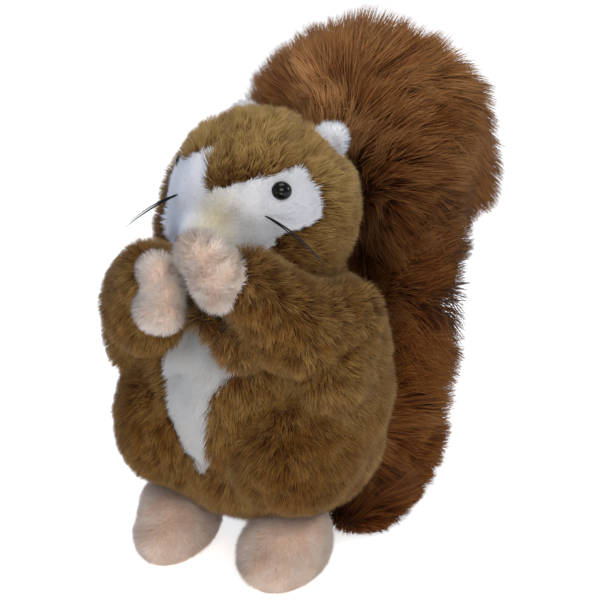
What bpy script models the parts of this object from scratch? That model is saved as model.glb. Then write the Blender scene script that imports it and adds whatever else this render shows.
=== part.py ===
"""A plush toy squirrel that stands on two feet and its tail, with its paws held to its mouth.

Metres, +Z up. The toy faces -Y and its left side is +X. The origin is on the floor, at the middle of the
toy's box. Each stuffed part is a closed solid out to the tips of its pile. Parts that meet keep a small gap.
"""

import math

import bmesh
import bpy
import numpy as np
from mathutils import Euler, Matrix, Vector

MM = 0.001
GAP = 0.00035  # left between parts that touch
SOLE, SEAT = 0.0018, 0.0014  # how much the feet and the tail are flattened where they stand
VOXEL = 0.0022  # fineness at which the forms of one part are run together
MID_X, MID_Y = 0.22, 41.86  # the middle of the toy's box, from the axis of its body

# driving dimensions, in millimetres
BODY_W, BODY_D = 57.0, 48.0  # half width and half depth of the barrel of the body
HEAD_R = 39.8  # half width of the head
HEAD_AT = (0.0, 4.0, 149.5)
HEAD_TURN, HEAD_LEAN = -7.0, 4.0  # degrees: turned to its right, leaning to its left
TAIL_LEAN = 6.0  # how far the top of the tail leans to its left

COLOURS = {
    "fur": ((0.130, 0.062, 0.018, 1.0), 0.85),
    "tail": ((0.120, 0.043, 0.014, 1.0), 0.85),
    "white": ((0.72, 0.70, 0.66, 1.0), 0.85),
    "paw": ((0.68, 0.40, 0.29, 1.0), 0.85),
    "eye": ((0.010, 0.007, 0.006, 1.0), 0.08),
    "nose": ((0.050, 0.022, 0.014, 1.0), 0.45),
    "bristle": ((0.012, 0.011, 0.011, 1.0), 0.40),
}


def start():
    for o in list(bpy.data.objects):
        bpy.data.objects.remove(o, do_unlink=True)
    out = []
    for name in ("plush_squirrel", "plush_squirrel_cutters"):
        c = bpy.data.collections.new(name)
        bpy.context.scene.collection.children.link(c)
        out.append(c)
    return out


PARTS, CUTTERS = start()


def material(name):
    colour, rough = COLOURS[name]
    m = bpy.data.materials.get(name) or bpy.data.materials.new(name)
    m.use_nodes = True
    b = m.node_tree.nodes["Principled BSDF"]
    b.inputs["Base Color"].default_value = colour
    b.inputs["Roughness"].default_value = rough
    b.inputs["Metallic"].default_value = 0.0
    m.diffuse_color = colour
    return m


def place(p):
    """A point in millimetres from the body's own axis to metres from the origin."""
    return Vector(((p[0] - MID_X) * MM, (p[1] - MID_Y) * MM, p[2] * MM))


HEAD_ROT = Euler((0.0, math.radians(HEAD_LEAN), 0.0)).to_matrix()
HEAD_ROT = Matrix.Rotation(math.radians(HEAD_TURN), 3, "Z") @ HEAD_ROT


def on_head(p):
    """A point given sideways, backward and up from the head's middle."""
    v = HEAD_ROT @ Vector(p)
    return tuple(HEAD_AT[i] + v[i] for i in range(3))


def ball(bm, at, radii, turn=(0.0, 0.0, 0.0), head=False, segments=32, rings=20):
    """Adds one closed ellipsoid to a mesh."""
    rot = Euler([math.radians(a) for a in turn]).to_matrix()
    if head:
        at, rot = on_head(at), HEAD_ROT @ rot
    m = (
        Matrix.Translation(place(at))
        @ rot.to_4x4()
        @ Matrix.Diagonal([r * MM for r in radii] + [1.0])
    )
    bmesh.ops.create_uvsphere(
        bm, u_segments=segments, v_segments=rings, radius=1.0, matrix=m
    )


def limb(bm, joints, steps=5):
    """Adds a run of overlapping balls along a limb: joints are (x, y, z, radius)."""
    for a, b in zip(joints, joints[1:]):
        for i in range(steps + 1):
            t = i / steps
            x, y, z, r = (a[k] + (b[k] - a[k]) * t for k in range(4))
            ball(bm, (x, y, z), (r, r, r), segments=20, rings=12)


def link(bm, name, collection):
    me = bpy.data.meshes.new(name)
    bm.to_mesh(me)
    bm.free()
    o = bpy.data.objects.new(name, me)
    collection.objects.link(o)
    return o


def evaluated(o):
    """The object's mesh with its modifiers applied."""
    bpy.context.view_layer.update()
    dg = bpy.context.evaluated_depsgraph_get()
    return bpy.data.meshes.new_from_object(o.evaluated_get(dg))


def settle(o, tidy=False):
    """Applies an object's modifiers, and keeps its largest body."""
    me = evaluated(o)
    o.modifiers.clear()
    old = o.data
    o.data = me
    bpy.data.meshes.remove(old)
    bm = bmesh.new()
    bm.from_mesh(me)
    if tidy:
        bmesh.ops.remove_doubles(bm, verts=bm.verts, dist=2e-5)
        bmesh.ops.dissolve_degenerate(bm, edges=bm.edges, dist=1e-5)
    bmesh.ops.triangulate(bm, faces=bm.faces)
    seen, groups = set(), []
    for f in bm.faces:
        if f.index in seen:
            continue
        stack, group = [f], []
        seen.add(f.index)
        while stack:
            g = stack.pop()
            group.append(g)
            for e in g.edges:
                for h in e.link_faces:
                    if h.index not in seen:
                        seen.add(h.index)
                        stack.append(h)
        groups.append(group)
    groups.sort(key=len)
    for group in groups[:-1]:
        bmesh.ops.delete(bm, geom=group, context="FACES")
    loose = [v for v in bm.verts if not v.link_faces]
    bmesh.ops.delete(bm, geom=loose, context="VERTS")
    bmesh.ops.recalc_face_normals(bm, faces=bm.faces)
    bm.to_mesh(me)
    bm.free()
    return o


def blend(bm, name, triangles, voxel=VOXEL, smooth=6):
    """Runs overlapping forms together into one rounded body of about the given number of triangles."""
    o = link(bm, name, PARTS)
    m = o.modifiers.new("run_together", "REMESH")
    m.mode, m.voxel_size, m.adaptivity = "VOXEL", voxel, 0.0
    s = o.modifiers.new("soften", "SMOOTH")
    s.factor, s.iterations = 0.5, smooth
    settle(o)
    count = sum(len(p.vertices) - 2 for p in o.data.polygons)
    d = o.modifiers.new("thin_out", "DECIMATE")
    d.ratio = min(1.0, triangles / count)
    return settle(o)


def floor_cut(o, depth):
    """Sets a body on the floor, flattened by the given depth where it stands."""
    low = min(v.co.z for v in o.data.vertices)
    for v in o.data.vertices:
        v.co.z -= low + depth
    bm = bmesh.new()
    bm.from_mesh(o.data)
    cut = bmesh.ops.bisect_plane(
        bm,
        geom=list(bm.verts) + list(bm.edges) + list(bm.faces),
        plane_co=(0, 0, 0),
        plane_no=(0, 0, 1),
        clear_inner=True,
    )
    edges = [e for e in cut["geom_cut"] if isinstance(e, bmesh.types.BMEdge)]
    bmesh.ops.contextual_create(bm, geom=edges)
    bmesh.ops.recalc_face_normals(bm, faces=bm.faces)
    bmesh.ops.triangulate(bm, faces=bm.faces)
    bm.to_mesh(o.data)
    bm.free()
    return o


def cutter(o, gap=GAP):
    """A copy of a part grown by the gap, to cut its neighbours with."""
    c = bpy.data.objects.new("cut_" + o.name, o.data.copy())
    CUTTERS.objects.link(c)
    c.hide_render, c.display_type = True, "WIRE"
    d = c.modifiers.new("grow", "DISPLACE")
    d.strength, d.mid_level, d.direction = gap, 0.0, "NORMAL"
    return settle(c)


def cut(o, *cutters):
    for c in cutters:
        m = o.modifiers.new("clear_of_" + c.name, "BOOLEAN")
        m.operation, m.solver, m.object = "DIFFERENCE", "EXACT", c
    return settle(o, tidy=True)


def finish(o, mat):
    o.data.materials.clear()
    o.data.materials.append(material(mat))
    o.data.shade_smooth()
    return o


# ---- trunk: a barrel with a fuller belly and a rounded seat -------------------------------------------
def trunk():
    bm = bmesh.new()
    ball(bm, (0, 7, 54), (BODY_W - 6.5, BODY_D - 2, 37))
    ball(bm, (0, 1, 77), (BODY_W, BODY_D, 44))
    ball(bm, (0, 1, 94), (BODY_W - 1.5, BODY_D - 2, 38))
    ball(bm, (0, -8, 84), (34, 40, 31))
    ball(bm, (0, 6, 120), (34, 32, 22))
    for s in (-1, 1):
        ball(bm, (s * 41, -16, 97), (17, 22, 22))
        ball(bm, (s * 46, -10, 104), (12, 18, 16))
    return blend(bm, "trunk", 900)


# ---- head: a ball with full cheeks and a short muzzle -------------------------------------------------
def head():
    bm = bmesh.new()
    r = HEAD_R
    ball(bm, (0, 0, 0), (r, r - 0.5, r - 0.5), head=True)
    for s in (-1, 1):
        ball(bm, (s * 19, -8, -11), (21, 24, 21), head=True)
    ball(bm, (0, -27, -5), (19, 19, 15), head=True)
    ball(bm, (0, -33, -7), (13, 15, 11), head=True)
    return blend(bm, "head", 1050, smooth=5)


EAR = (20.8, 16.2, 27.2)


def ear(side):
    bm = bmesh.new()
    ball(bm, (side * EAR[0], EAR[1], EAR[2]), (8.2, 4.6, 8.4), (0, side * 20, 0), head=True)
    ball(bm, (side * (EAR[0] - 2.5), EAR[1], EAR[2] - 5), (7.0, 4.6, 6.0), head=True)
    return blend(bm, "ear_" + ("left" if side > 0 else "right"), 150, voxel=0.0012, smooth=4)


# each eye is a glossy ball sunk in the pile of the mask, the right one a little deeper
EYE = {1: (23.8, -19.9, 16.3), -1: (-26.9, -15.6, 15.2)}
EYE_R = 3.9
SOCKET_R = 5.6


def eye(side):
    bm = bmesh.new()
    ball(bm, EYE[side], (EYE_R,) * 3, head=True, segments=12, rings=7)
    bmesh.ops.triangulate(bm, faces=bm.faces)
    return link(bm, "eye_" + ("left" if side > 0 else "right"), PARTS)


def socket(side):
    """Cuts the pile away round an eye."""
    bm = bmesh.new()
    out = Vector(EYE[side]).normalized() * (HEAD_R + 1.8)
    ball(bm, out, (SOCKET_R,) * 3, head=True, segments=14, rings=8)
    o = link(bm, "cut_socket", CUTTERS)
    o.hide_render, o.display_type = True, "WIRE"
    return o


def nose():
    bm = bmesh.new()
    ball(bm, (0, -48.0, -2.5), (3.6, 2.4, 2.4), head=True, segments=10, rings=6)
    bmesh.ops.triangulate(bm, faces=bm.faces)
    return link(bm, "nose", PARTS)


# ---- arms and paws ------------------------------------------------------------------------------------
SHOULDER = (41.3, -3.0, 112.5, 16.0)
ELBOW_LEFT = (34.5, -30.0, 115.5, 19.5)
ELBOW_RIGHT = (28.0, -30.0, 114.8, 22.2)
WRIST_LEFT = (23.5, -46.5, 136.0, 15.0)
WRIST_RIGHT = (19.6, -46.5, 133.8, 13.4)
# the stuffing of the raised left forearm hangs below its paw
SLACK_LEFT = (
    ((17.0, -42.0, 110.5), (12.5, 11.5, 12.5)),
    ((11.5, -46.5, 116.0), (9.0, 9.5, 9.0)),
    ((6.5, -50.0, 121.0), (8.5, 9.0, 8.5)),
)


def arm(side):
    bm = bmesh.new()
    bends = (ELBOW_LEFT, WRIST_LEFT) if side > 0 else (ELBOW_RIGHT, WRIST_RIGHT)
    pts = [(side * p[0], p[1], p[2], p[3]) for p in (SHOULDER, *bends)]
    limb(bm, pts)
    for at, radii in SLACK_LEFT if side > 0 else ():
        ball(bm, at, radii)
    return blend(bm, "arm_" + ("left" if side > 0 else "right"), 400)


def paw_left():
    bm = bmesh.new()
    ball(bm, (9.2, -56.0, 148.3), (11.4, 10.0, 10.0))
    ball(bm, (16.3, -56.5, 141.1), (12.6, 11.5, 12.6))
    ball(bm, (16.6, -57.0, 135.3), (9.0, 9.0, 9.0))
    return blend(bm, "paw_left", 320, voxel=0.0016, smooth=4)


def paw_right():
    bm = bmesh.new()
    ball(bm, (-10.4, -55.0, 138.2), (8.4, 8.5, 8.6))
    ball(bm, (-9.6, -55.0, 122.8), (11.5, 9.5, 9.7))
    ball(bm, (-9.4, -52.0, 130.5), (9.8, 9.5, 10.5))
    return blend(bm, "paw_right", 320, voxel=0.0016, smooth=4)


# ---- legs and feet ------------------------------------------------------------------------------------
def leg(side):
    bm = bmesh.new()
    ball(bm, (side * 29.5, -13, 66), (24, 36, 34.5), (0, side * -4, side * -6))
    ball(bm, (side * 19.5, -22, 63), (15.5, 26, 29))
    ball(bm, (side * 26, 0, 44), (23, 23, 15.5))
    return blend(bm, "leg_" + ("left" if side > 0 else "right"), 440)


# the toe, and the stuffed ankle over it: centre and radii, and how far the toe turns out
FOOT_LEFT = (21.0, -15.5, 15.0, 18.5, 26.5, 16.0, 4.0)
FOOT_RIGHT = (-27.9, -17.0, 15.0, 15.0, 26.0, 16.0, -2.0)
ANKLE_LEFT = (((21.5, -13.5, 19.0), (17.6, 21.5, 13.8)), ((22.0, -12.0, 22.5), (16.5, 15.0, 11.0)))
ANKLE_RIGHT = (((-30.4, -15.5, 18.5), (14.4, 20.5, 13.4)), ((-33.0, -14.0, 22.0), (13.5, 15.0, 11.0)))


def foot(name, at, ankle):
    x, y, z, a, b, c, turn = at
    bm = bmesh.new()
    ball(bm, (x, y, z), (a, b, c), (0, 0, turn))
    ball(bm, (x, y + 2, z - 3), (a - 1, b - 3, c - 3), (0, 0, turn))
    for at, radii in ankle:
        ball(bm, at, radii)
    return floor_cut(blend(bm, name, 280, smooth=3), SOLE)


# ---- tail: one bent brush in three lengths ------------------------------------------------------------
# along its length: sideways, back from the axis, up, half width, half thickness
TAIL = [
    (0.0, 44.0, 42.0, 28.0, 24.0),
    (0.0, 56.0, 32.0, 38.0, 31.0),
    (0.0, 71.0, 33.0, 44.0, 33.5),
    (1.0, 84.0, 45.0, 47.0, 36.0),
    (2.0, 89.0, 65.0, 48.0, 36.0),
    (3.0, 92.5, 88.0, 48.0, 35.0),
    (3.5, 92.0, 110.0, 47.5, 35.5),
    (3.5, 87.0, 130.0, 49.0, 38.0),
    (3.0, 81.5, 149.0, 53.0, 42.0),
    (4.0, 83.5, 163.0, 53.5, 41.8),
    (TAIL_LEAN, 94.0, 170.0, 53.0, 40.5),
    (TAIL_LEAN, 106.5, 157.5, 51.0, 36.0),
    (TAIL_LEAN, 115.5, 141.5, 49.5, 36.5),
    (TAIL_LEAN, 119.0, 128.0, 44.0, 30.0),
]
TAIL_CUTS = (72.0, 140.0)  # heights at which its three lengths meet


def tail_at(t):
    """The tail's section at t from 0 to 1, on a smooth curve through the stations."""
    n = len(TAIL) - 1
    i = min(int(t * n), n - 1)
    u = t * n - i
    p = [np.array(TAIL[min(max(i + k, 0), n)], dtype=float) for k in (-1, 0, 1, 2)]
    return 0.5 * (
        2 * p[1]
        + (p[2] - p[0]) * u
        + (2 * p[0] - 5 * p[1] + 4 * p[2] - p[3]) * u * u
        + (3 * p[1] - p[0] - 3 * p[2] + p[3]) * u**3
    )


def tail():
    bm = bmesh.new()
    steps = 34
    for k in range(steps + 1):
        t = k / steps
        x, y, z, w, h = tail_at(t)
        y1, z1 = tail_at(min(t + 0.02, 1.0))[1:3]
        y0, z0 = tail_at(max(t - 0.02, 0.0))[1:3]
        lean = math.degrees(math.atan2(y1 - y0, z1 - z0))
        ball(bm, (x, y, z), (w, h, h * 0.75), (-lean, 0, 0), segments=28, rings=16)
    for side in (-1, 1):
        for y in (46.0, 68.0):
            ball(bm, (side * 27, y, 11.0), (20.5, 24, 13))
        ball(bm, (side * 25, 84, 24), (21, 25, 23))
    return blend(bm, "tail", 1400, voxel=0.0028, smooth=4)


def length_of(whole, name, planes):
    """One length of the tail, between planes given as (point, direction)."""
    o = bpy.data.objects.new(name, whole.data.copy())
    PARTS.objects.link(o)
    for co, no in planes:
        bm = bmesh.new()
        bm.from_mesh(o.data)
        cutting = bmesh.ops.bisect_plane(
            bm,
            geom=list(bm.verts) + list(bm.edges) + list(bm.faces),
            plane_co=co,
            plane_no=no,
            clear_inner=True,
        )
        edges = [e for e in cutting["geom_cut"] if isinstance(e, bmesh.types.BMEdge)]
        bmesh.ops.contextual_create(bm, geom=edges)
        bmesh.ops.triangulate(bm, faces=bm.faces)
        bmesh.ops.recalc_face_normals(bm, faces=bm.faces)
        bm.to_mesh(o.data)
        bm.free()
    return o


# from each cheek: where it grows, in the head's own directions, and how far it reaches
WHISKER_ROOT = {1: (23.4, -28.6, 7.8), -1: (-18.5, -33.0, 8.0)}
WHISKER_REACH = {1: (24.8, -0.4, -14.1), -1: (-19.0, -3.0, -15.4)}
WHISKER_BOW = {1: (0.0, -1.0, 2.2), -1: (0.0, -0.5, 0.9)}


def whisker(side):
    """One stiff bristle from the cheek, as a fine tube along a bent line."""
    root = Vector(on_head(WHISKER_ROOT[side]))
    tip = root + Vector(WHISKER_REACH[side])
    bow = Vector(WHISKER_BOW[side])
    c = bpy.data.curves.new("bristle", "CURVE")
    c.dimensions, c.bevel_depth, c.bevel_resolution, c.use_fill_caps = "3D", 0.0003, 1, True
    sp = c.splines.new("POLY")
    n = 9
    sp.points.add(n)
    for k in range(n + 1):
        t = k / n
        p = root.lerp(tip, t) + bow * (4 * t * (1 - t))
        sp.points[k].co = (*place(p), 1.0)
    o = bpy.data.objects.new("tube", c)
    PARTS.objects.link(o)
    me = evaluated(o)
    bpy.data.objects.remove(o)
    bm = bmesh.new()
    bm.from_mesh(me)
    bmesh.ops.remove_doubles(bm, verts=bm.verts, dist=1e-6)
    bmesh.ops.triangulate(bm, faces=bm.faces)
    bmesh.ops.recalc_face_normals(bm, faces=bm.faces)
    return link(bm, "whisker_" + ("left" if side > 0 else "right"), PARTS)


def build():
    body = trunk()
    skull = head()
    eyes = [eye(s) for s in (1, -1)]
    button = nose()
    feet = [foot("foot_left", FOOT_LEFT, ANKLE_LEFT), foot("foot_right", FOOT_RIGHT, ANKLE_RIGHT)]
    legs = [leg(s) for s in (1, -1)]
    paws = [paw_left(), paw_right()]
    arms = [arm(s) for s in (1, -1)]
    ears = [ear(s) for s in (1, -1)]
    brush = floor_cut(tail(), SEAT)

    c_body, c_head = cutter(body), cutter(skull)
    c_feet = [cutter(f) for f in feet]
    c_paws = [cutter(p) for p in paws]
    c_eyes = [cutter(e, 0.0003) for e in eyes]
    c_nose = cutter(button, 0.0003)

    for i, lg in enumerate(legs):
        cut(lg, c_body, c_feet[i])
    c_legs = [cutter(lg) for lg in legs]
    for i, f in enumerate(feet):
        cut(f, c_body)
    cut(legs[1], c_legs[0])
    cut(paws[0], c_head, c_nose)
    cut(paws[1], c_head, c_nose, c_paws[0])
    for i, a in enumerate(arms):
        cut(a, c_body, c_head, c_paws[0], c_paws[1], c_legs[i])
    cut(skull, c_body, *c_eyes, socket(1), socket(-1), c_nose)
    for e in ears:
        cut(e, c_head)
    cut(brush, c_body, c_head, *c_legs, *[cutter(e) for e in ears])

    low, high = (z * MM for z in TAIL_CUTS)
    up, down = Vector((0, 0, 1)), Vector((0, 0, -1))

    def level(z, side):
        return Vector((0, 0, z + side * GAP / 2)), up if side > 0 else down

    length_of(brush, "tail_lower", [level(low, -1)])
    length_of(brush, "tail_middle", [level(low, 1), level(high, -1)])
    length_of(brush, "tail_upper", [level(high, 1)])
    bpy.data.objects.remove(brush, do_unlink=True)
    for s in (1, -1):
        w = whisker(s)
        cut(w, c_head)

    kinds = {"trunk": "fur", "head": "fur", "ear": "white", "eye": "eye", "nose": "nose", "arm": "fur"}
    kinds.update({"paw": "paw", "leg": "fur", "foot": "paw", "tail": "tail", "whisker": "bristle"})
    for o in PARTS.objects:
        finish(o, kinds[o.name.split("_")[0]])


build()
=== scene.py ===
"""Looks of the plush squirrel: one stuffed skin under a coat of short pile, a long-haired tail, glossy eyes
and bristle whiskers.

Forms are given in millimetres from the body's own axis (the toy faces -Y, its left side is +X) and are
turned into metres from the frame's origin when a mesh is made.
"""

import math

import bmesh
import bpy
import numpy as np
from mathutils import Euler, Matrix, Vector
from mathutils.kdtree import KDTree


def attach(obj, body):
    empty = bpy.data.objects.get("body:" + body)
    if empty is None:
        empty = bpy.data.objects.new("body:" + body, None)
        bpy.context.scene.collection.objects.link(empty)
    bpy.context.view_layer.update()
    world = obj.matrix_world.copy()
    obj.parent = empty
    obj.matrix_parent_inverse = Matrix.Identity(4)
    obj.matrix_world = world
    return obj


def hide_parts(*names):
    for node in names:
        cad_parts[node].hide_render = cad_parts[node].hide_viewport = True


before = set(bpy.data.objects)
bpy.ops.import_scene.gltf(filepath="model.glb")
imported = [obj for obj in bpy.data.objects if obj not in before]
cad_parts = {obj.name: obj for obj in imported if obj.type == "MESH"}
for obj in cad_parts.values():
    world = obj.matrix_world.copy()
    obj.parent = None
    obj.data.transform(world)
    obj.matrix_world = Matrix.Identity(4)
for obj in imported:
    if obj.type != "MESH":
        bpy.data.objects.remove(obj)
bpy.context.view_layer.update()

MM = 0.001
MID = np.array((0.22, 41.86, 0.0))
RNG = np.random.default_rng(11)

# ---- camera, floor and light ----------------------------------------------------------------------------
AIM = Vector((0.01518, -0.03366, 0.111))
AZ, EL, REACH = math.radians(28.0), math.radians(20.0), 0.700


def camera():
    back = Vector((math.sin(AZ) * math.cos(EL), -math.cos(AZ) * math.cos(EL), math.sin(EL)))
    cam = bpy.data.cameras.new("camera")
    cam.sensor_width, cam.lens = 36.0, 106.32
    cam.clip_start, cam.clip_end = 0.01, 50.0
    o = bpy.data.objects.new("camera", cam)
    bpy.context.scene.collection.objects.link(o)
    o.location = AIM + back * REACH
    o.rotation_euler = (-back).to_track_quat("-Z", "Y").to_euler()
    bpy.context.scene.camera = o


def lamp(name, at, aim, size, power, colour=(1.0, 1.0, 1.0)):
    data = bpy.data.lights.new(name, "AREA")
    data.shape, data.size, data.energy, data.color = "SQUARE", size, power, colour
    o = bpy.data.objects.new(name, data)
    bpy.context.scene.collection.objects.link(o)
    o.location = at
    o.rotation_euler = (Vector(aim) - Vector(at)).to_track_quat("-Z", "Y").to_euler()


def studio():
    bpy.context.scene.view_settings.view_transform = "Standard"
    world = bpy.data.worlds.new("studio")
    bpy.context.scene.world = world
    world.use_nodes = True
    bg = world.node_tree.nodes["Background"]
    bg.inputs["Color"].default_value = (0.84, 0.91, 1.0, 1.0)
    bg.inputs["Strength"].default_value = 0.46
    lamp("key", (0.40, -0.72, 0.74), (0.0, 0.0, 0.10), 0.55, 6.0, (1.0, 0.965, 0.92))
    lamp("side", (0.75, 0.45, 0.55), (0.0, 0.0, 0.10), 0.35, 2.3, (0.90, 0.95, 1.0))
    lamp("top", (-0.10, 0.15, 0.95), (0.0, 0.03, 0.10), 0.5, 3.6)
    lamp("left", (-0.75, -0.35, 0.40), (0.0, 0.0, 0.12), 0.5, 1.2, (0.38, 0.58, 1.0))
    lamp("low", (0.235, -0.47, 0.06), (0.02, -0.06, 0.16), 0.045, 0.55)
    me = bpy.data.meshes.new("floor")
    s = 6.0
    me.from_pydata([(-s, -s, 0), (s, -s, 0), (s, s, 0), (-s, s, 0)], [], [(0, 1, 2, 3)])
    o = bpy.data.objects.new("floor", me)
    bpy.context.scene.collection.objects.link(o)
    o.location.z = -0.0002
    m = bpy.data.materials.new("pale_floor")
    m.use_nodes = True
    b = m.node_tree.nodes["Principled BSDF"]
    b.inputs["Base Color"].default_value = (0.90, 0.90, 0.90, 1.0)
    b.inputs["Roughness"].default_value = 0.9
    b.inputs["Emission Color"].default_value = (1.0, 1.0, 1.0, 1.0)
    b.inputs["Emission Strength"].default_value = 0.62
    me.materials.append(m)


camera()
studio()


# ---- small helpers ---------------------------------------------------------------------------------------
def unit(v):
    return v / np.maximum(np.linalg.norm(v, axis=-1, keepdims=True), 1e-9)


def step(x, a, b):
    """0 below a, 1 above b, smooth between."""
    t = np.clip((x - a) / (b - a), 0.0, 1.0)
    return t * t * (3 - 2 * t)


def waves(p, size, seed, parts=1, count=7):
    """Smooth noise about -1 to 1 at each point, with bumps of about the given size in millimetres."""
    r = np.random.default_rng(seed)
    out = np.zeros((len(p), parts))
    for c in range(parts):
        for _ in range(count):
            k = unit(r.normal(size=3)) * (2 * math.pi / (size * r.uniform(0.7, 1.5)))
            out[:, c] += np.sin(p @ k + r.uniform(0, 6.283))
    out /= math.sqrt(count / 2) * 1.3
    return out[:, 0] if parts == 1 else out


def to_world(p):
    return (p - MID) * MM


def rot_of(turn):
    return np.array(Euler([math.radians(a) for a in turn]).to_matrix())


def linear(rgb):
    """0 to 255 display colour to linear."""
    c = np.array(rgb, float) / 255.0
    c = np.where(c <= 0.04045, c / 12.92, ((c + 0.055) / 1.055) ** 2.4)
    return (*c, 1.0)


# ---- the forms of the toy, as balls: (part, centre, radii, rotation) ---------------------------------------
PARTS = ("trunk", "head", "ear", "arm", "leg", "paw", "foot", "tail")
COAT = {"trunk": 5.4, "head": 4.6, "ear": 2.8, "arm": 4.8, "leg": 5.4, "paw": 3.2, "foot": 3.0, "tail": 16.5}

BODY_W, BODY_D = 57.0, 48.0
HEAD_R = 39.8
HEAD_AT = np.array((0.0, 4.0, 149.5))
HEAD_ROT = np.array(Matrix.Rotation(math.radians(-7.0), 3, "Z") @ Euler((0.0, math.radians(4.0), 0.0)).to_matrix())
EAR = (20.8, 16.2, 27.2)
EYE = {1: (23.8, -19.9, 16.3), -1: (-26.9, -15.6, 15.2)}
EYE_R = 3.9
TAIL_LEAN = 6.0
TAIL = [
    (0.0, 44.0, 42.0, 28.0, 24.0),
    (0.0, 56.0, 32.0, 38.0, 31.0),
    (0.0, 71.0, 33.0, 44.0, 33.5),
    (1.0, 84.0, 45.0, 47.0, 36.0),
    (2.0, 89.0, 65.0, 48.0, 36.0),
    (3.0, 92.5, 88.0, 48.0, 35.0),
    (3.5, 92.0, 110.0, 47.5, 35.5),
    (3.5, 87.0, 130.0, 49.0, 38.0),
    (3.0, 81.5, 149.0, 53.0, 42.0),
    (4.0, 83.5, 163.0, 53.5, 41.8),
    (TAIL_LEAN, 94.0, 170.0, 53.0, 40.5),
    (TAIL_LEAN, 106.5, 157.5, 51.0, 36.0),
    (TAIL_LEAN, 115.5, 141.5, 49.5, 36.5),
    (TAIL_LEAN, 119.0, 128.0, 44.0, 30.0),
]


def tail_at(t):
    n = len(TAIL) - 1
    i = min(int(t * n), n - 1)
    u = t * n - i
    p = [np.array(TAIL[min(max(i + k, 0), n)], dtype=float) for k in (-1, 0, 1, 2)]
    return 0.5 * (
        2 * p[1]
        + (p[2] - p[0]) * u
        + (2 * p[0] - 5 * p[1] + 4 * p[2] - p[3]) * u * u
        + (3 * p[1] - p[0] - 3 * p[2] + p[3]) * u**3
    )


def on_head(p):
    return HEAD_AT + HEAD_ROT @ np.array(p, float)


FORMS = []


def form(part, at, radii, turn=(0, 0, 0), low=0.0):
    """One ball of the outer shape. low is how much of its coat it lacks underneath, where it stands."""
    FORMS.append((part, np.array(at, float), np.array(radii, float), rot_of(turn), low))


def head_form(part, at, radii, turn=(0, 0, 0)):
    FORMS.append((part, on_head(at), np.array(radii, float), HEAD_ROT @ rot_of(turn), 0.0))


def run(part, joints, steps=5):
    for a, b in zip(joints, joints[1:]):
        for i in range(steps + 1):
            x, y, z, r = (a[k] + (b[k] - a[k]) * i / steps for k in range(4))
            form(part, (x, y, z), (r, r, r))


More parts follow.
